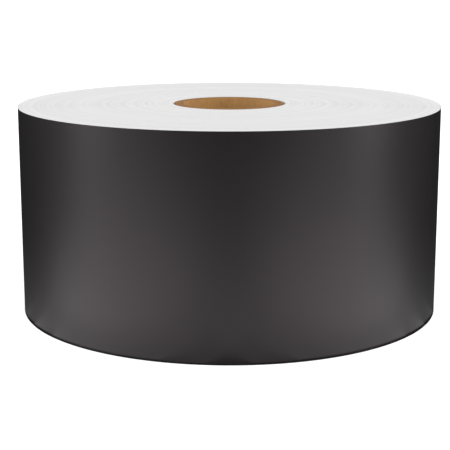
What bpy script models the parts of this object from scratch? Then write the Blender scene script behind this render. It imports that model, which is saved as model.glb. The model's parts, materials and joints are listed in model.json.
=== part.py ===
"""Roll of black sign vinyl wound on a paperboard core and standing on its end.

Frame: the origin is on the core's axis at the lower end face, and +Z runs up the core.
Angles are seen from above, anticlockwise from +X.

The web is film, face out, on its release liner. It winds on the core as one flat
spiral, so a place along it is given by how far back from its leading edge it lies, in
degrees turned about the axis. A depth is measured inwards from the web's outer face.

The last quarter turn is the tail. It unrolls as a chain of short stiff segments, one
hinge to each, and at its end the film alone peels off the liner in the same way.
"""

import math

import bpy
from mathutils import Vector

# Driving dimensions, in metres and degrees.
OUTER_RADIUS = 0.0585
WEB_WIDTH = 0.05715
BORE_RADIUS = 0.0127
CORE_RADIUS = 0.01524
CORE_PLIES = 6
GLUE_LINE = 0.00003

FILM_THICKNESS = 0.00010
LINER_THICKNESS = 0.00009
LAYER_GAP = 0.000014
TURNS = 196

LEADING_EDGE_DEG = 135.0
TAIL_DEG = 90.0
TAIL_SEGMENT_DEG = 7.5
TAIL_END_DEG = 15.0
TIP_DEG = 12.5
TIP_SEGMENT_DEG = 2.5
TIP_SEGMENTS = 4
SEGMENT_GAP = 0.0003

TAPE_THICKNESS = 0.00005
START_TAPE_LENGTH = 0.020
START_TAPE_WIDTH = 0.050
CLOSING_TAPE_WIDTH = 0.025
CLOSING_TAPE_ON_TIP_DEG = 4.5
CLOSING_TAPE_REACH_DEG = 12.5

OUTER_FACET_DEG = 2.5
INNER_FACET_DEG = 5.0

# Worked out from them.
WEB_PITCH = FILM_THICKNESS + LINER_THICKNESS + 2 * LAYER_GAP
FILM_DEPTHS = (0.0, FILM_THICKNESS)
LINER_DEPTHS = (FILM_THICKNESS + LAYER_GAP, FILM_THICKNESS + LAYER_GAP + LINER_THICKNESS)
WEB_DEPTHS = (FILM_DEPTHS[0], LINER_DEPTHS[1])
TAIL_SEGMENTS = round((TAIL_DEG - TAIL_END_DEG) / TAIL_SEGMENT_DEG)
FULL_TURN = 360.0
INNER_TURN_DEG = (TURNS - 1) * FULL_TURN
INNER_END_DEG = TURNS * FULL_TURN
HALF_GAP_DEG = math.degrees(SEGMENT_GAP / 2 / OUTER_RADIUS)
SNUG = 1e-6  # of a facet, so that a corner on a band's end isn't counted twice


def clear_scene():
    for thing in list(bpy.data.objects):
        bpy.data.objects.remove(thing)


def make_material(name, colour, roughness, metallic=0.0):
    material = bpy.data.materials.new(name)
    material.use_nodes = True
    shader = material.node_tree.nodes["Principled BSDF"]
    shader.inputs["Base Color"].default_value = (*colour, 1.0)
    shader.inputs["Roughness"].default_value = roughness
    shader.inputs["Metallic"].default_value = metallic
    return material


def make_materials():
    return {
        "film": make_material("black_film", (0.012, 0.011, 0.012), 0.38),
        "liner": make_material("white_liner", (0.80, 0.80, 0.79), 0.60),
        "turns": make_material("web_edges", (0.78, 0.78, 0.78), 0.70),
        "board": make_material("paperboard", (0.32, 0.17, 0.06), 0.85),
        "tape": make_material("paper_tape", (0.66, 0.60, 0.46), 0.75),
    }


def make_joint_empty(name, position, parent, collection):
    """An empty on a joint's axis, which carries the pieces that turn with it."""
    empty = bpy.data.objects.new(name, None)
    empty.empty_display_size = 0.004
    empty["rest_position"] = position
    empty.location = position
    if parent is not None:
        empty.parent = parent
        empty.location = position - Vector(parent["rest_position"])
    collection.objects.link(empty)
    return empty


def make_flat_piece(name, outlines, bottom, height, material, carrier, collection):
    """A flat outline, given in the part's frame, made as thick as height and standing at
    bottom. Its origin is its carrier's, on the joint's axis."""
    origin = Vector(carrier["rest_position"])
    curve = bpy.data.curves.new(name, "CURVE")
    curve.dimensions = "2D"
    curve.fill_mode = "BOTH"
    curve.extrude = height / 2
    curve.resolution_u = 1
    curve.render_resolution_u = 0
    for outline in outlines:
        spline = curve.splines.new("POLY")
        spline.points.add(len(outline) - 1)
        for point, (x, y) in zip(spline.points, outline, strict=True):
            point.co = (x - origin.x, y - origin.y, 0.0, 1.0)
        spline.use_cyclic_u = True
    curve.materials.append(material)
    piece = bpy.data.objects.new(name, curve)
    piece.parent = carrier
    piece.location = (0.0, 0.0, bottom + height / 2 - origin.z)
    collection.objects.link(piece)
    return piece


def web_corner(back_deg, depth):
    radius = OUTER_RADIUS - WEB_PITCH * back_deg / FULL_TURN - depth
    angle = math.radians(LEADING_EDGE_DEG - back_deg)
    return Vector((radius * math.cos(angle), radius * math.sin(angle)))


def web_point(back_deg, depth, facet_deg=OUTER_FACET_DEG):
    """A point on the faceted web, which is straight between the corners facet_deg apart."""
    first = math.floor(back_deg / facet_deg + SNUG) * facet_deg
    share = (back_deg - first) / facet_deg
    return web_corner(first, depth).lerp(web_corner(first + facet_deg, depth), share)


def web_line(start_deg, end_deg, depth, facet_deg=OUTER_FACET_DEG):
    """The points along the web from start_deg to end_deg, with each corner between."""
    first = math.floor(start_deg / facet_deg + SNUG) + 1
    last = math.ceil(end_deg / facet_deg - SNUG)
    stops = [start_deg, *(k * facet_deg for k in range(first, last)), end_deg]
    return [web_point(stop, depth, facet_deg) for stop in stops]


def band_outline(start_deg, end_deg, depths, facet_deg=OUTER_FACET_DEG):
    """One layer of the web seen from above, between two depths."""
    outer = web_line(start_deg, end_deg, depths[0], facet_deg)
    inner = web_line(start_deg, end_deg, depths[1], facet_deg)
    return outer + inner[::-1]


def segment_outline(free_deg, root_deg, depths):
    """A band that stops half a gap short of its neighbours. The leading edge has none."""
    start_deg = free_deg + HALF_GAP_DEG if free_deg > 0.0 else 0.0
    return band_outline(start_deg, root_deg - HALF_GAP_DEG, depths)


def circle_outline(radius, facet_deg=INNER_FACET_DEG):
    count = round(FULL_TURN / facet_deg)
    angles = [math.radians(LEADING_EDGE_DEG - k * facet_deg) for k in range(count)]
    return [Vector((radius * math.cos(a), radius * math.sin(a))) for a in angles]


def make_core(carrier, materials, collection):
    """The paperboard tube, as the nested plies that it is wound and glued from."""
    pitch = (CORE_RADIUS - BORE_RADIUS + GLUE_LINE) / CORE_PLIES
    for ply in range(CORE_PLIES):
        name = f"core_ply_{ply + 1}"
        if ply == 0:
            name = "core_inner_ply"
        if ply == CORE_PLIES - 1:
            name = "core_outer_ply"
        inside = BORE_RADIUS + ply * pitch
        rings = [circle_outline(inside + pitch - GLUE_LINE), circle_outline(inside)]
        make_flat_piece(name, rings, 0.0, WEB_WIDTH, materials["board"], carrier, collection)


def make_start_tape(carrier, materials, collection):
    """The strip that holds the web's inner end down on the core."""
    middle = (CORE_RADIUS + web_corner(INNER_END_DEG, WEB_DEPTHS[1]).length) / 2
    half_deg = math.degrees(START_TAPE_LENGTH / 2 / middle)
    half_facets = math.ceil(half_deg / INNER_FACET_DEG)
    angles = [
        math.radians(LEADING_EDGE_DEG + k * INNER_FACET_DEG)
        for k in range(-half_facets, half_facets + 1)
    ]
    directions = [Vector((math.cos(a), math.sin(a))) for a in angles]
    outer = [d * (middle + TAPE_THICKNESS / 2) for d in directions]
    inner = [d * (middle - TAPE_THICKNESS / 2) for d in directions]
    bottom = (WEB_WIDTH - START_TAPE_WIDTH) / 2
    make_flat_piece(
        "core_start_tape", [outer + inner[::-1]], bottom, START_TAPE_WIDTH,
        materials["tape"], carrier, collection,
    )


def make_wound_web(carrier, materials, collection):
    """The turns that stay on the core: the innermost, the many between, the outermost."""
    tail_end_deg = TAIL_DEG + FULL_TURN
    for layer, depths in (("liner", LINER_DEPTHS), ("film", FILM_DEPTHS)):
        inner = band_outline(INNER_TURN_DEG, INNER_END_DEG, depths, INNER_FACET_DEG)
        outer = band_outline(TAIL_DEG + HALF_GAP_DEG, tail_end_deg, depths)
        for name, outline in ((f"inner_turn_{layer}", inner), (f"outer_turn_{layer}", outer)):
            make_flat_piece(
                name, [outline], 0.0, WEB_WIDTH, materials[layer], carrier, collection
            )
    outside = web_line(tail_end_deg, tail_end_deg + FULL_TURN, WEB_DEPTHS[0])
    inside = web_line(
        INNER_TURN_DEG - FULL_TURN, INNER_TURN_DEG, WEB_DEPTHS[1], INNER_FACET_DEG
    )
    make_flat_piece(
        "wound_turns", [outside, inside], 0.0, WEB_WIDTH, materials["turns"], carrier, collection
    )


def make_tail(carrier, materials, collection):
    """The web's last quarter turn. Each segment turns on a hinge at its root end, in the
    middle of the web. The last segment's liner runs on to the leading edge, under the film
    tip."""
    hinge_depth = WEB_DEPTHS[1] / 2
    for number in range(1, TAIL_SEGMENTS + 2):
        root_deg = TAIL_DEG - (number - 1) * TAIL_SEGMENT_DEG
        is_last = number > TAIL_SEGMENTS
        label = "end" if is_last else f"{number:02d}"
        free_deg = 0.0 if is_last else root_deg - TAIL_SEGMENT_DEG
        hinge = web_point(root_deg, hinge_depth).to_3d()
        carrier = make_joint_empty(f"hinge_tail_{label}", hinge, carrier, collection)
        film_deg = max(free_deg, TIP_DEG)
        for layer, start_deg, depths in (
            ("liner", free_deg, LINER_DEPTHS), ("film", film_deg, FILM_DEPTHS),
        ):
            make_flat_piece(
                f"tail_{layer}_{label}", [segment_outline(start_deg, root_deg, depths)],
                0.0, WEB_WIDTH, materials[layer], carrier, collection,
            )
    return carrier


def make_film_tip(carrier, materials, collection):
    """The free end of the film, which peels off the liner one short segment at a time."""
    hinge_depth = FILM_DEPTHS[1] / 2
    for number in range(1, TIP_SEGMENTS + 1):
        root_deg = TIP_DEG - (number - 1) * TIP_SEGMENT_DEG
        free_deg = 0.0 if number == TIP_SEGMENTS else root_deg - TIP_SEGMENT_DEG
        hinge = web_point(root_deg, hinge_depth).to_3d()
        carrier = make_joint_empty(f"hinge_film_tip_{number:02d}", hinge, carrier, collection)
        make_flat_piece(
            f"film_tip_{number:02d}", [segment_outline(free_deg, root_deg, FILM_DEPTHS)],
            0.0, WEB_WIDTH, materials["film"], carrier, collection,
        )
    return carrier


def make_closing_tape(carrier, materials, collection):
    """The strip that holds the leading edge down. It lies on the last film segment, steps
    down over the edge and runs on along the turn below."""
    depths = (-LAYER_GAP - TAPE_THICKNESS, -LAYER_GAP)
    edges = []
    for depth in depths:
        on_tip = web_line(0.0, CLOSING_TAPE_ON_TIP_DEG, depth)
        on_turn_below = web_line(
            FULL_TURN - CLOSING_TAPE_REACH_DEG, FULL_TURN - OUTER_FACET_DEG, depth
        )
        edges.append(on_turn_below + on_tip)
    bottom = (WEB_WIDTH - CLOSING_TAPE_WIDTH) / 2
    make_flat_piece(
        "closing_tape", [edges[0] + edges[1][::-1]], bottom, CLOSING_TAPE_WIDTH,
        materials["tape"], carrier, collection,
    )


def main():
    clear_scene()
    collection = bpy.data.collections.new("roll_of_sign_vinyl")
    bpy.context.scene.collection.children.link(collection)
    materials = make_materials()
    roll = make_joint_empty("roll", Vector((0.0, 0.0, 0.0)), None, collection)
    make_core(roll, materials, collection)
    make_start_tape(roll, materials, collection)
    make_wound_web(roll, materials, collection)
    tail_end = make_tail(roll, materials, collection)
    tip_end = make_film_tip(tail_end, materials, collection)
    make_closing_tape(tip_end, materials, collection)


main()
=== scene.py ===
"""The looks of the roll of sign vinyl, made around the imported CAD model.

The web is film on its release liner, wound as one flat spiral. A place along it is given
by how far back from its leading edge it lies, in degrees turned about the roll's axis,
and a depth is measured inwards from the web's outer face. Both are as in the CAD model.
"""

import json
import math

import bpy
import numpy as np
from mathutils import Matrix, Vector


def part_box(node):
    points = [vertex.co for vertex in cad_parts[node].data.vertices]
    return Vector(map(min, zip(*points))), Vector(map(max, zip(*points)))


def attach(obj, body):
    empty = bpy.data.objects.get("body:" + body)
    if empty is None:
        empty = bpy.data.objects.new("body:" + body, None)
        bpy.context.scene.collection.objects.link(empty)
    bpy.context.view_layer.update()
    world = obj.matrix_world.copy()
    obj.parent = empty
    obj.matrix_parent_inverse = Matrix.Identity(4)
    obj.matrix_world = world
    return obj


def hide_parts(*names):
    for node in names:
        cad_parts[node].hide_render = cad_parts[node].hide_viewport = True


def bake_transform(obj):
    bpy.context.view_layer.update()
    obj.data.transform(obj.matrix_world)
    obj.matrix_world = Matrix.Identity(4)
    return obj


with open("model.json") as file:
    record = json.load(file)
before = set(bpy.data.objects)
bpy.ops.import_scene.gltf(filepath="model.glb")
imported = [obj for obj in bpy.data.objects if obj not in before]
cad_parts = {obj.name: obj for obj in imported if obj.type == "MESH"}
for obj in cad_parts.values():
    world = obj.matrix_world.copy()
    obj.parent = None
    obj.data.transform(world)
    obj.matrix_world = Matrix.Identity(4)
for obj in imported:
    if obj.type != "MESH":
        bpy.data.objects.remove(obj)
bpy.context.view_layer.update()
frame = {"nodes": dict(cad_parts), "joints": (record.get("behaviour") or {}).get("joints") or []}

FULL_TURN = 360.0
SAME_DEG = 0.01  # corners closer than this stand at one place round the roll

# The wound web's end faces: the groove between two turns, and how far the turns wander
# from level, most of them together and each one alone.
WOUND_STEP_DEG = 4.5
WIND_SEED = 7
GROOVE_DEPTH = 0.00004
WANDER_TOGETHER = 0.000018
WANDER_STOPS = 24
WANDER_ALONE = 0.000004

# The stretches of film and liner.
SHEET_STEP_DEG = 0.5
TIP_STEP_DEG = 0.25

# How often the overhangs of the tail's bends are worked out anew, so that they agree.
OVERHANG_ROUNDS = 30

# The core's plies: each seam's slant over the height, its width, and how uneven the cut
# ends are, in waves round the ply.
CORE_STEP_DEG = 3.0
CORE_SEED = 3
PLY_LEVELS = 25
PLY_TWIST_DEG = 250.0
PLY_SLIT = 0.00012
PLY_UNEVEN = 0.00006
PLY_WAVES = 3.0

# The closing tape: its creped paper, and the teeth that its ends are torn along.
TAPE_STEP_DEG = 0.15
TAPE_TEETH = 16
TAPE_LEVELS_PER_TOOTH = 4
TOOTH_DEG = 0.4
TAPE_STEP_DOWN_DEG = 1.2
CREPE_HEIGHT = 0.000012
CREPE_PITCH_DEG = 0.62

# The camera, in metres, degrees and millimetres.
CAMERA_DISTANCE = 0.3394
CAMERA_HEIGHT = 0.0959
CAMERA_PITCH_DEG = 12.25
CAMERA_YAW_DEG = 0.194
CAMERA_LENS_MM = 97.3
CAMERA_SENSOR_MM = 36.0
CAMERA_CLIP = (0.01, 50.0)

# The studio, in metres, degrees and watts. Azimuth 0 is in front, and 90 is to the side.
# All lights come in pairs, one on the left and one on the right.
WORLD_STRENGTH = 1.05
WORLD_IN_GLOSS = 0.01
FLOOR_SIZE = 14.0
FLOOR_DROP = 0.00005
FLOOR_GREY = (0.55, 0.55, 0.55, 1.0)
FLOOR_GLOW = 0.6
WHITE = (1.0, 1.0, 1.0, 1.0)

# Upright softboxes: name, azimuth, distance, width and power.
SOFTBOX_HEIGHT = 1.0
SOFTBOXES = (
    ("strip", 75.0, 1.0, 0.30, 6.1),
    ("front_panel", 50.0, 1.2, 0.60, 2.0),
    ("back_panel", 110.0, 1.2, 0.60, 1.0),
    ("rear_panel", 168.0, 1.2, 0.45, 2.2),
)

# Pools of light on the floor. Those at the roll's foot are evenly spaced, and their powers
# run from the front to the side. The others have a name, azimuth, distance, radius and power.
POOL_LIFT = 0.0001
FOOT_POOL_DISTANCE = 0.125
FOOT_POOL_RADIUS = 0.075
FOOT_POOL_FIRST_DEG = 6.0
FOOT_POOL_STEP_DEG = 11.5
FOOT_POOL_POWERS = (0.001, 0.005, 0.024, 0.024, 0.010, 0.003, 0.002, 0.001)
OTHER_POOLS = (
    ("wide_pool", 46.0, 0.17, 0.10, 0.063),
    ("back_pool", 171.0, 0.145, 0.075, 0.030),
)


# Facts read off the frame.


def node_radii(node):
    """The least and the greatest distance of a node's corners from the roll's axis."""
    reach = [math.hypot(v.co.x, v.co.y) for v in frame["nodes"][node].data.vertices]
    return min(reach), max(reach)


def find_joint(name):
    return next(joint for joint in frame["joints"] if joint["name"] == name)


def joints_called(start):
    return [joint["name"] for joint in frame["joints"] if joint["name"].startswith(start)]


def joint_back_deg(name):
    """How far back along the web a joint lies."""
    x, y, _ = find_joint(name)["pos_m"]
    return LEADING_EDGE_DEG - math.degrees(math.atan2(y, x))


def free_end(node):
    """Where a layer ends: its angle, its outer radius and its inner radius there."""
    corners = [v.co for v in frame["nodes"][node].data.vertices]
    angles = [math.degrees(math.atan2(c.y, c.x)) for c in corners]
    radii = [c.to_2d().length for c, deg in zip(corners, angles) if deg > max(angles) - SAME_DEG]
    return max(angles), max(radii), min(radii)


BOTTOM, TOP = (corner.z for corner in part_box("wound_turns"))
LEADING_EDGE_DEG, OUTER_RADIUS, FILM_INSIDE = free_end("film_tip_04")
_, LINER_OUTSIDE, LINER_INSIDE = free_end("tail_liner_end")
LAYER_GAP = FILM_INSIDE - LINER_OUTSIDE
WEB_PITCH = OUTER_RADIUS - LINER_INSIDE + LAYER_GAP
FILM_DEPTHS = (0.0, OUTER_RADIUS - FILM_INSIDE)
LINER_DEPTHS = (OUTER_RADIUS - LINER_OUTSIDE, OUTER_RADIUS - LINER_INSIDE)
TURNS = round((LINER_INSIDE - node_radii("inner_turn_liner")[0]) / WEB_PITCH)
UNROLL_JOINTS = joints_called("unroll")
PEEL_JOINTS = joints_called("peel")
TAIL_DEG = joint_back_deg(UNROLL_JOINTS[0])
TAIL_SEGMENT_DEG = TAIL_DEG - joint_back_deg(UNROLL_JOINTS[1])
TIP_DEG = joint_back_deg(PEEL_JOINTS[0])
TIP_SEGMENT_DEG = TIP_DEG - joint_back_deg(PEEL_JOINTS[1])


# Small helpers for meshes.


def web_xy(back_deg, depth):
    """Points on the smooth web, for numbers or arrays of them."""
    radius = OUTER_RADIUS - WEB_PITCH * back_deg / FULL_TURN - depth
    angle = np.radians(LEADING_EDGE_DEG - back_deg)
    return np.stack([radius * np.cos(angle), radius * np.sin(angle)], axis=-1)


def steps_between(start, end, step):
    """Evenly spaced stops from start to end, no further apart than step."""
    return np.linspace(start, end, max(2, math.ceil((end - start) / step - 1e-6) + 1))


def make_piece(name, points, faces, materials, slots=None, sharp_deg=40.0):
    mesh = bpy.data.meshes.new(name)
    mesh.from_pydata(np.asarray(points).tolist(), [], np.asarray(faces, object).tolist())
    for material in materials:
        mesh.materials.append(material)
    if slots is not None:
        mesh.polygons.foreach_set("material_index", slots)
    mesh.validate()
    mesh.shade_smooth()
    mesh.set_sharp_from_angle(angle=math.radians(sharp_deg))
    piece = bpy.data.objects.new(name, mesh)
    bpy.context.scene.collection.objects.link(piece)
    return piece


def loft(rings):
    """Faces over rings of points, each ring a closed loop, with a cap at either end. rings
    has the shape (stations, points in a ring, 3). Returns points, faces and, for each
    face, which side of the ring it is on, or -1 for a cap."""
    stations, around = rings.shape[:2]
    index = np.arange(stations * around).reshape(stations, around)
    here, ahead = index[:-1], index[1:]
    quads = np.stack(
        [here, np.roll(here, -1, axis=1), np.roll(ahead, -1, axis=1), ahead], axis=-1
    )
    faces = quads.reshape(-1, 4).tolist() + [index[0][::-1].tolist(), index[-1].tolist()]
    sides = np.tile(np.arange(around), len(here)).tolist() + [-1, -1]
    return rings.reshape(-1, 3), faces, sides


# Materials.


def add_node(tree, kind, sockets=None, **properties):
    """A shader node, with each socket given a value or linked from another's output."""
    made = tree.nodes.new(kind)
    for key, value in properties.items():
        setattr(made, key, value)
    for key, value in (sockets or {}).items():
        if isinstance(value, bpy.types.NodeSocket):
            tree.links.new(value, made.inputs[key])
        else:
            made.inputs[key].default_value = value
    return made


def math_node(tree, operation, *values):
    sockets = dict(enumerate(values))
    return add_node(tree, "ShaderNodeMath", sockets, operation=operation).outputs[0]


def weighted_sum(tree, *terms):
    """The sum of sockets, each given with its weight."""
    total = None
    for socket, weight in terms:
        term = math_node(tree, "MULTIPLY", socket, weight)
        total = term if total is None else math_node(tree, "ADD", total, term)
    return total


def new_material(name, roughness, specular):
    """A material with its tree and shader. Where roughness is linked to nodes later on, the
    plain value is what a viewer without them shows."""
    material = bpy.data.materials.new(name)
    material.use_nodes = True
    tree = material.node_tree
    shader = tree.nodes["Principled BSDF"]
    shader.inputs["Roughness"].default_value = roughness
    shader.inputs["Specular IOR Level"].default_value = specular
    return material, tree, shader


def object_point(tree, scale=(1.0, 1.0, 1.0)):
    """The piece's own coordinates in metres, stretched by scale."""
    coordinates = add_node(tree, "ShaderNodeTexCoord").outputs["Object"]
    return add_node(
        tree, "ShaderNodeVectorMath", {0: coordinates, 1: scale}, operation="MULTIPLY"
    ).outputs[0]


def noise(tree, vector, scale, detail, roughness=0.5):
    return add_node(
        tree, "ShaderNodeTexNoise",
        {"Vector": vector, "Scale": scale, "Detail": detail, "Roughness": roughness},
    ).outputs["Fac"]


def number_between(tree, factor, low, high, low_at=0.3, high_at=0.7):
    """A number from low to high as factor goes from low_at to high_at."""
    sockets = {
        "Value": factor, "From Min": low_at, "From Max": high_at, "To Min": low, "To Max": high
    }
    return add_node(tree, "ShaderNodeMapRange", sockets).outputs[0]


def colour_between(tree, factor, low, high, low_at=0.3, high_at=0.7):
    """The same for a colour. A mix node's sockets for colours are 6 and 7, and output 2."""
    share = number_between(tree, factor, 0.0, 1.0, low_at, high_at)
    sockets = {0: share, 6: (*low, 1.0), 7: (*high, 1.0)}
    return add_node(tree, "ShaderNodeMix", sockets, data_type="RGBA").outputs[2]


def bump(tree, height, distance, normal=None):
    sockets = {"Height": height, "Distance": distance}
    if normal is not None:
        sockets["Normal"] = normal
    return add_node(tree, "ShaderNodeBump", sockets).outputs["Normal"]


def black_film_material():
    """Satin black vinyl: nearly even, with faint lines along the web from calendering."""
    material, tree, shader = new_material("black_vinyl_face", 0.40, 0.5)
    lines = noise(tree, object_point(tree, (12.0, 12.0, 900.0)), 1.0, 4.0)
    grain = noise(tree, object_point(tree), 2600.0, 2.0)
    cloud = noise(tree, object_point(tree), 35.0, 2.0)
    tint = colour_between(tree, cloud, (0.0048, 0.0047, 0.0048), (0.0057, 0.0055, 0.0056))
    tree.links.new(tint, shader.inputs["Base Color"])
    shader.inputs["Specular Tint"].default_value = (1.0, 0.88, 0.93, 1.0)
    gloss = weighted_sum(tree, (lines, 0.5), (cloud, 0.5))
    tree.links.new(number_between(tree, gloss, 0.385, 0.41), shader.inputs["Roughness"])
    normal = bump(tree, grain, 0.0000015)
    normal = bump(tree, lines, 0.0000010, normal=normal)
    tree.links.new(normal, shader.inputs["Normal"])
    return material


def adhesive_material():
    """The film's back: grey pressure-sensitive adhesive, a little uneven."""
    material, tree, shader = new_material("grey_adhesive", 0.30, 0.5)
    patches = noise(tree, object_point(tree), 400.0, 3.0)
    tint = colour_between(tree, patches, (0.30, 0.30, 0.31), (0.36, 0.36, 0.37))
    tree.links.new(tint, shader.inputs["Base Color"])
    tree.links.new(number_between(tree, patches, 0.26, 0.36), shader.inputs["Roughness"])
    tree.links.new(bump(tree, patches, 0.00001), shader.inputs["Normal"])
    return material


def liner_material():
    """White coated release paper, with its fibres just showing."""
    material, tree, shader = new_material("white_release_paper", 0.55, 0.4)
    fibres = noise(tree, object_point(tree, (1.0, 1.0, 0.35)), 1800.0, 4.0, 0.65)
    tint = colour_between(tree, fibres, (0.74, 0.74, 0.73), (0.80, 0.80, 0.79))
    tree.links.new(tint, shader.inputs["Base Color"])
    tree.links.new(number_between(tree, fibres, 0.50, 0.62), shader.inputs["Roughness"])
    tree.links.new(bump(tree, fibres, 0.000006), shader.inputs["Normal"])
    return material


def turn_count(tree):
    """How many turns of the web lie outside a point, whole and part, from its place."""
    coordinates = add_node(tree, "ShaderNodeTexCoord").outputs["Object"]
    x, y, _ = add_node(tree, "ShaderNodeSeparateXYZ", {0: coordinates}).outputs
    x_squared = math_node(tree, "MULTIPLY", x, x)
    y_squared = math_node(tree, "MULTIPLY", y, y)
    radius = math_node(tree, "SQRT", math_node(tree, "ADD", x_squared, y_squared))
    depth = math_node(tree, "SUBTRACT", OUTER_RADIUS, radius)
    angle = math_node(tree, "ARCTAN2", y, x)
    back = math_node(tree, "SUBTRACT", math.radians(LEADING_EDGE_DEG), angle)
    part_turn = math_node(tree, "FRACT", math_node(tree, "DIVIDE", back, math.tau))
    return math_node(tree, "SUBTRACT", math_node(tree, "DIVIDE", depth, WEB_PITCH), part_turn)


def web_edge_material():
    """The slit edges of film and liner: pale, with each turn a shade of its own."""
    material, tree, shader = new_material("pale_web_edges", 0.80, 0.0)
    turns = turn_count(tree)
    one_turn = add_node(
        tree, "ShaderNodeTexWhiteNoise", {"W": math_node(tree, "FLOOR", turns)},
        noise_dimensions="1D",
    ).outputs["Value"]
    many_turns = add_node(
        tree, "ShaderNodeTexNoise", {"W": turns, "Scale": 0.11, "Detail": 2.0},
        noise_dimensions="1D",
    ).outputs["Fac"]
    dust = noise(tree, object_point(tree), 900.0, 3.0)
    shade = weighted_sum(tree, (one_turn, 0.35), (many_turns, 0.45), (dust, 0.20))
    tint = colour_between(tree, shade, (0.505, 0.505, 0.505), (0.58, 0.58, 0.58), 0.25, 0.75)
    tree.links.new(tint, shader.inputs["Base Color"])
    tree.links.new(number_between(tree, dust, 0.74, 0.88), shader.inputs["Roughness"])
    tree.links.new(bump(tree, dust, 0.00001), shader.inputs["Normal"])
    return material


def board_material(name, dark, light):
    """Brown core board: long soft fibres and a few dark specks."""
    material, tree, shader = new_material(name, 0.85, 0.2)
    fibres = noise(tree, object_point(tree, (1.0, 1.0, 0.3)), 1500.0, 5.0, 0.7)
    specks = noise(tree, object_point(tree), 3200.0, 1.0)
    clouds = noise(tree, object_point(tree), 160.0, 2.0)
    base = colour_between(tree, fibres, dark, light)
    shade = number_between(tree, clouds, 0.93, 1.05)
    speck = number_between(tree, specks, 0.80, 1.0, 0.26, 0.34)
    scale = math_node(tree, "MULTIPLY", shade, speck)
    tint = add_node(tree, "ShaderNodeVectorMath", {0: base, 3: scale}, operation="SCALE")
    tree.links.new(tint.outputs[0], shader.inputs["Base Color"])
    tree.links.new(number_between(tree, fibres, 0.78, 0.92), shader.inputs["Roughness"])
    tree.links.new(bump(tree, fibres, 0.00003), shader.inputs["Normal"])
    return material


def tape_material():
    """Buff creped paper tape, with its crepe running across the strip."""
    material, tree, shader = new_material("buff_paper_tape", 0.70, 0.3)
    crepe = noise(tree, object_point(tree, (1.0, 1.0, 0.12)), 3000.0, 3.0, 0.6)
    tint = colour_between(tree, crepe, (0.42, 0.335, 0.20), (0.50, 0.415, 0.265))
    tree.links.new(tint, shader.inputs["Base Color"])
    tree.links.new(number_between(tree, crepe, 0.62, 0.80), shader.inputs["Roughness"])
    tree.links.new(bump(tree, crepe, 0.00003), shader.inputs["Normal"])
    return material


FILM = black_film_material()
ADHESIVE = adhesive_material()
LINER = liner_material()
EDGE = web_edge_material()
BOARD = board_material("brown_core_board", (0.206, 0.090, 0.018), (0.276, 0.128, 0.030))
# The bore's inner face gets a lighter copy of the board: painted light that lifts the shade inside
# the bore.
BORE_BOARD_PAINTED_LIT = board_material("bore_board_painted_lit", (0.325, 0.172, 0.058), (0.408, 0.233, 0.086))
TAPE = tape_material()


# The wound web.


def wound_heights(stops):
    """How high the web's edge stands at each stop, from its middle: turns wander in and
    out a little as they are wound, most of them together and each one slightly alone."""
    random = np.random.RandomState(WIND_SEED)
    turns = stops / FULL_TURN
    wander = random.uniform(-1.0, 1.0, WANDER_STOPS)
    together = np.interp(turns, np.linspace(0.0, TURNS + 1.0, WANDER_STOPS), wander)
    scatter = random.uniform(-1.0, 1.0, TURNS + 2)
    alone = np.interp(turns, np.arange(TURNS + 2) + 0.5, scatter)
    lowered = WANDER_TOGETHER * (together - 1.0) + WANDER_ALONE * (alone - 1.0)
    return (TOP - BOTTOM) / 2 + lowered


def end_face(stops):
    """The wound web's upper end: each turn a flat ridge, and a groove between it and the
    turn within. Returns points, with heights from the web's middle, and faces."""
    heights = wound_heights(stops)
    across = ((0.0, 0.0), (LINER_DEPTHS[1], 0.0), (WEB_PITCH - LAYER_GAP / 2, GROOVE_DEPTH))
    columns = [np.column_stack([web_xy(stops, depth), heights - dip]) for depth, dip in across]
    points = np.stack(columns, axis=1).reshape(-1, 3)
    corners = np.arange(len(points)).reshape(len(stops), len(across))
    per_turn = round(FULL_TURN / WOUND_STEP_DEG)
    bands = [(corners[:, 0], corners[:, 1]), (corners[:, 1], corners[:, 2]),
             (corners[:-per_turn, 2], corners[per_turn:, 0])]
    quads = [np.stack([a[:-1], b[:-1], b[1:], a[1:]], axis=-1) for a, b in bands]
    return points, np.concatenate(quads)


def rim_of(quads, count):
    """The edges that only one of the quads has, over count points."""
    edges = np.concatenate([quads[:, [k, (k + 1) % 4]] for k in range(4)])
    keys = edges.min(axis=1) * count + edges.max(axis=1)
    _, first, times = np.unique(keys, return_index=True, return_counts=True)
    return edges[first[times == 1]]


def make_wound_web():
    """The turns between the core and the outer turn as one body: an end face, its mirror
    image below, and walls between their rims."""
    start_deg = TAIL_DEG + FULL_TURN
    last = round((TURNS * FULL_TURN - start_deg) / WOUND_STEP_DEG)
    upper, quads = end_face(start_deg + WOUND_STEP_DEG * np.arange(last + 1))
    count = len(upper)
    lower = upper * (1.0, 1.0, -1.0)
    points = np.concatenate([upper, lower]) + np.array([0.0, 0.0, (TOP + BOTTOM) / 2])
    rim = rim_of(quads, count)
    walls = np.stack([rim[:, 1], rim[:, 0], rim[:, 0] + count, rim[:, 1] + count], axis=-1)
    faces = np.concatenate([quads, quads[:, ::-1] + count, walls])
    piece = make_piece("wound_web", points, faces, [EDGE], sharp_deg=60.0)
    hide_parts("wound_turns", "inner_turn_liner", "inner_turn_film")
    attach(piece, "roll")


def sheet_rings(stops, depths):
    """A strip of one layer: at each stop, its four corners from the outer face's top."""
    outer, inner = (web_xy(stops, depth) for depth in depths)
    columns = [(outer, TOP), (inner, TOP), (inner, BOTTOM), (outer, BOTTOM)]
    return np.stack([np.column_stack([xy, np.full(len(xy), z)]) for xy, z in columns], axis=1)


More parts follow.
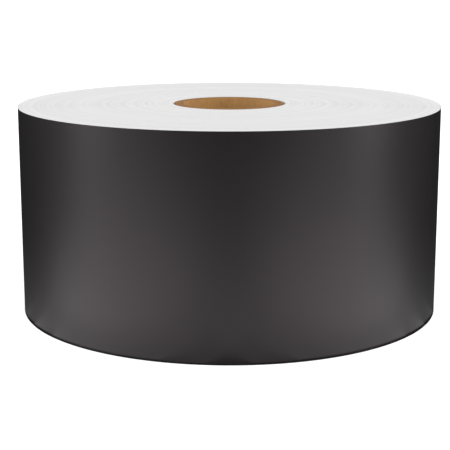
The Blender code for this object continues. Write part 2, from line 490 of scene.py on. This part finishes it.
def make_sheet(name, start_deg, end_deg, layer, step=SHEET_STEP_DEG):
    """A stretch of the film or the liner, between two places along the web."""
    depths = FILM_DEPTHS if layer == "film" else LINER_DEPTHS
    points, faces, sides = loft(sheet_rings(steps_between(start_deg, end_deg, step), depths))
    if layer == "film":
        materials, by_side = [EDGE, FILM, ADHESIVE], {3: 1, 1: 2}
    else:
        materials, by_side = [EDGE, LINER], {3: 1, 1: 1}
    slots = [by_side.get(side, 0) for side in sides]
    piece = make_piece(name, points, faces, materials, slots)
    return piece


def make_outer_turn():
    """The last turn before the tail, and on round beneath the tail."""
    for layer in ("liner", "film"):
        piece = make_sheet(
            f"outer_{layer}", TAIL_DEG + TAIL_SEGMENT_DEG / 2, TAIL_DEG + FULL_TURN, layer
        )
        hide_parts(f"outer_turn_{layer}")
        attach(piece, "roll")


def bend_overhangs(lengths, reach):
    """What share of a piece's bend lies beyond its ends, at each end from the roll on. It is
    none at the first and the last."""
    shares = np.zeros(len(lengths) + 1)
    for _ in range(OVERHANG_ROUNDS):
        for n in range(1, len(lengths)):
            behind, ahead = reach / lengths[n - 1], reach / lengths[n]
            rest = behind * (1.0 - shares[n - 1]) + ahead * (1.0 - shares[n + 1])
            square = 2.0 + 3.0 * (behind + ahead)
            middle = 3.0 * (1.0 + behind + ahead + rest)
            root = math.sqrt(middle**2 - 12.0 * square * rest)
            shares[n] = (middle - root) / (2.0 * square)
    return shares


def make_tail():
    """The last quarter turn. Each piece crosses one hinge, from the middle of one segment
    to the middle of the next, so the sheet bends smoothly and stays whole."""
    reach = TAIL_SEGMENT_DEG / 2
    places = [joint_back_deg(name) for name in UNROLL_JOINTS]
    starts = [at_deg + reach for at_deg in places]
    ends = starts[1:] + [(places[-1] + TIP_DEG) / 2]
    lengths = [start_deg - end_deg for start_deg, end_deg in zip(starts, ends)]
    overhangs = bend_overhangs(lengths, reach)
    for index, name in enumerate(UNROLL_JOINTS):
        joint = find_joint(name)
        liner_end = 0.0 if name == UNROLL_JOINTS[-1] else ends[index]
        for layer, end_deg in (("liner", liner_end), ("film", ends[index])):
            piece = make_sheet(f"tail_{layer}_{index + 1:02d}_bend", end_deg, starts[index], layer)
            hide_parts(joint["child"].replace("tail", f"tail_{layer}"))
            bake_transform(piece)


def make_film_tip():
    """The film's free end, which peels: a piece across each hinge, as on the tail."""
    start_deg = (joint_back_deg(UNROLL_JOINTS[-1]) + TIP_DEG) / 2
    for number, name in enumerate(PEEL_JOINTS, start=1):
        joint = find_joint(name)
        bend_end_deg = joint_back_deg(name) - TIP_SEGMENT_DEG / 2
        end_deg = 0.0 if number == len(PEEL_JOINTS) else bend_end_deg
        piece = make_sheet(f"film_tip_{number:02d}_bend", end_deg, start_deg, "film", TIP_STEP_DEG)
        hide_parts(joint["child"])
        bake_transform(piece)
        start_deg = bend_end_deg


# The core.


def ply_section(inside, outside):
    """A ply's cut seen at one place round it: up its outer face, and down its inner one.
    Each point has a radius and its share of the height."""
    levels = np.linspace(0.0, 1.0, PLY_LEVELS)
    return [(outside, share) for share in levels[::-1]] + [(inside, share) for share in levels]


def make_ply(node, random):
    """A strip bent round and closed along a slanting butt seam. Its ends stand a little
    short of the web's, and uneven, as they were cut."""
    inside, outside = node_radii(node)
    section = ply_section(inside, outside)
    twist_deg = random.choice([-1.0, 1.0]) * PLY_TWIST_DEG
    half_slit_deg = math.degrees(PLY_SLIT / 2 / inside)
    seam_deg, wave_deg = random.uniform(0.0, FULL_TURN, 2)
    short, wave = random.uniform(0.0, PLY_UNEVEN / 2, 2)
    rings = []
    for turned in steps_between(half_slit_deg, FULL_TURN - half_slit_deg, CORE_STEP_DEG):
        cut = short + wave * (1.0 + math.sin(math.radians(PLY_WAVES * turned + wave_deg))) / 2
        ring = []
        for radius, share in section:
            angle = math.radians(seam_deg + turned + twist_deg * share)
            height = BOTTOM + cut + (TOP - BOTTOM - 2 * cut) * share
            ring.append((radius * math.cos(angle), radius * math.sin(angle), height))
        rings.append(ring)
    points, faces, sides = loft(np.array(rings))
    slots = [1 if PLY_LEVELS <= side < 2 * PLY_LEVELS - 1 else 0 for side in sides]
    # The inner ply's inner face is the bore wall, and its lighter board is painted light against
    # the shade in the bore.
    face = BORE_BOARD_PAINTED_LIT if node == "core_inner_ply" else BOARD
    piece = make_piece(f"{node}_board", points, faces, [BOARD, face], slots)
    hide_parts(node)
    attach(piece, "roll")


def make_core():
    plies = [n for n in frame["nodes"] if n.startswith("core") and "ply" in n]
    random = np.random.RandomState(CORE_SEED)
    for node in sorted(plies, key=lambda n: node_radii(n)[0]):
        make_ply(node, random)


# The tapes.


def crepe(past_deg, share):
    """The ups and downs of creped paper: two rows of ridges across the strip, which waver
    along their length, and the broader of which swells and fades."""
    phase = math.tau * past_deg / CREPE_PITCH_DEG
    broad_waver = 1.3 * np.sin(9.0 * share) + 0.7 * np.sin(31.0 * share)
    fine_waver = 2.1 * np.sin(13.0 * share + 1.0)
    broad = np.sin(phase + broad_waver)
    fine = np.sin(1.7 * phase + fine_waver)
    fading = np.sin(0.37 * phase + 11.0 * share)
    return CREPE_HEIGHT * (0.5 * broad + 0.3 * fine + 0.2 * broad * fading)


def over_leading_edge(past_deg):
    """The surface's radius near the leading edge, past_deg beyond it: the film tip's up to
    the edge, and after it a slope down to the turn below."""
    on_tip = OUTER_RADIUS + WEB_PITCH * past_deg / FULL_TURN
    down = np.clip(past_deg / TAPE_STEP_DOWN_DEG, 0.0, 1.0)
    return on_tip - WEB_PITCH * down * down * (3.0 - 2.0 * down)


def make_closing_tape():
    """Creped paper over the leading edge, torn off along a row of teeth at both ends."""
    corners = [v.co for v in frame["nodes"]["closing_tape"].data.vertices]
    past = [math.degrees(math.atan2(c.y, c.x)) - LEADING_EDGE_DEG for c in corners]
    low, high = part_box("closing_tape")
    radii = [c.to_2d().length for c, deg in zip(corners, past) if deg < min(past) + SAME_DEG]
    lift = min(radii) - over_leading_edge(min(past))
    thickness = max(radii) - min(radii)
    along = np.linspace(0.0, 1.0, math.ceil((max(past) - min(past)) / TAPE_STEP_DEG) + 1)
    levels = np.linspace(0.0, 1.0, TAPE_TEETH * TAPE_LEVELS_PER_TOOTH + 1)
    rings = []
    for share in levels:
        tooth = TOOTH_DEG * abs(2.0 * (share * TAPE_TEETH % 1.0) - 1.0)
        start, end = min(past) + tooth, max(past) - tooth
        past_deg = start + (end - start) * along
        inner = over_leading_edge(past_deg) + lift
        outer = inner + thickness + crepe(past_deg, share)
        angles = np.radians(LEADING_EDGE_DEG + np.concatenate([past_deg, past_deg[::-1]]))
        reach = np.concatenate([outer, inner[::-1]])
        heights = np.full(len(reach), low.z + (high.z - low.z) * share)
        rings.append(np.column_stack([reach * np.cos(angles), reach * np.sin(angles), heights]))
    points, faces, _ = loft(np.array(rings))
    piece = make_piece("closing_tape_paper", points, faces, [TAPE])
    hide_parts("closing_tape")
    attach(piece, find_joint(PEEL_JOINTS[-1])["child"])


def dress_start_tape():
    """The start tape keeps its CAD shape, because it lies hidden under the web."""
    mesh = frame["nodes"]["core_start_tape"].data
    mesh.materials.clear()
    mesh.materials.append(TAPE)


# The studio.


def make_floor():
    """A pale floor that lights what stands on it a little, and isn't seen in the gloss."""
    bpy.ops.mesh.primitive_plane_add(size=FLOOR_SIZE, location=(0.0, 0.0, BOTTOM - FLOOR_DROP))
    floor = bpy.context.object
    floor.name = "studio_floor"
    material, _, shader = new_material("pale_floor", 1.0, 0.0)
    shader.inputs["Base Color"].default_value = FLOOR_GREY
    shader.inputs["Emission Color"].default_value = WHITE
    shader.inputs["Emission Strength"].default_value = FLOOR_GLOW
    floor.data.materials.append(material)
    floor.visible_glossy = False


def make_world():
    """White to the camera and to matt surfaces, and nearly dark in the gloss, so that the
    film mirrors little but the lights."""
    world = bpy.data.worlds.new("studio")
    bpy.context.scene.world = world
    world.use_nodes = True
    tree = world.node_tree
    background = tree.nodes["Background"]
    is_glossy = add_node(tree, "ShaderNodeLightPath").outputs["Is Glossy Ray"]
    strength = number_between(tree, is_glossy, WORLD_STRENGTH, WORLD_IN_GLOSS, 0.0, 1.0)
    tree.links.new(strength, background.inputs["Strength"])
    background.inputs["Color"].default_value = WHITE


def make_light(name, shape, sizes, place, aim, power):
    """An area light at place that faces aim, and that the camera doesn't see."""
    light = bpy.data.lights.new(name, "AREA")
    light.shape = shape
    light.size, light.size_y = sizes
    light.energy = power
    lamp = bpy.data.objects.new(name, light)
    lamp.location = place
    lamp.rotation_euler = (Vector(aim) - Vector(place)).to_track_quat("-Z", "Y").to_euler()
    lamp.visible_camera = False
    bpy.context.scene.collection.objects.link(lamp)


def place_round(azimuth_deg, distance):
    azimuth = math.radians(azimuth_deg)
    return distance * math.sin(azimuth), -distance * math.cos(azimuth)


def make_softboxes():
    """Upright softboxes that stand on the floor round the roll."""
    middle = BOTTOM + SOFTBOX_HEIGHT / 2
    for side in (-1, 1):
        for name, azimuth_deg, distance, width, power in SOFTBOXES:
            x, y = place_round(side * azimuth_deg, distance)
            make_light(
                f"{name}_{side}", "RECTANGLE", (width, SOFTBOX_HEIGHT),
                (x, y, middle), (0.0, 0.0, middle), power,
            )


def make_pools():
    """Soft pools of light that shine up from the floor. They overlap, and each has a height
    of its own, because a ray meets only one of two lights at the same height."""
    pools = [
        (f"pool_{number + 1}", FOOT_POOL_FIRST_DEG + FOOT_POOL_STEP_DEG * number,
         FOOT_POOL_DISTANCE, FOOT_POOL_RADIUS, power)
        for number, power in enumerate(FOOT_POOL_POWERS)
    ]
    pools += OTHER_POOLS
    lift = POOL_LIFT
    for name, azimuth_deg, distance, radius, power in pools:
        for side in (-1, 1):
            x, y = place_round(side * azimuth_deg, distance)
            make_light(
                f"{name}_{side}", "DISK", (2 * radius, 2 * radius),
                (x, y, BOTTOM + lift), (x, y, TOP), power,
            )
            lift += POOL_LIFT


def make_camera():
    camera = bpy.data.objects.new("camera", bpy.data.cameras.new("camera"))
    camera.location = (0.0, -CAMERA_DISTANCE, CAMERA_HEIGHT)
    camera.rotation_euler = (
        math.radians(90.0 - CAMERA_PITCH_DEG), 0.0, math.radians(CAMERA_YAW_DEG)
    )
    camera.data.lens = CAMERA_LENS_MM
    camera.data.sensor_width = CAMERA_SENSOR_MM
    camera.data.clip_start, camera.data.clip_end = CAMERA_CLIP
    bpy.context.scene.collection.objects.link(camera)
    bpy.context.scene.camera = camera
    bpy.context.scene.view_settings.view_transform = "Standard"


make_camera()
make_world()
make_softboxes()
make_pools()
make_floor()
make_core()
make_wound_web()
make_outer_turn()
make_tail()
make_film_tip()
make_closing_tape()
dress_start_tape()
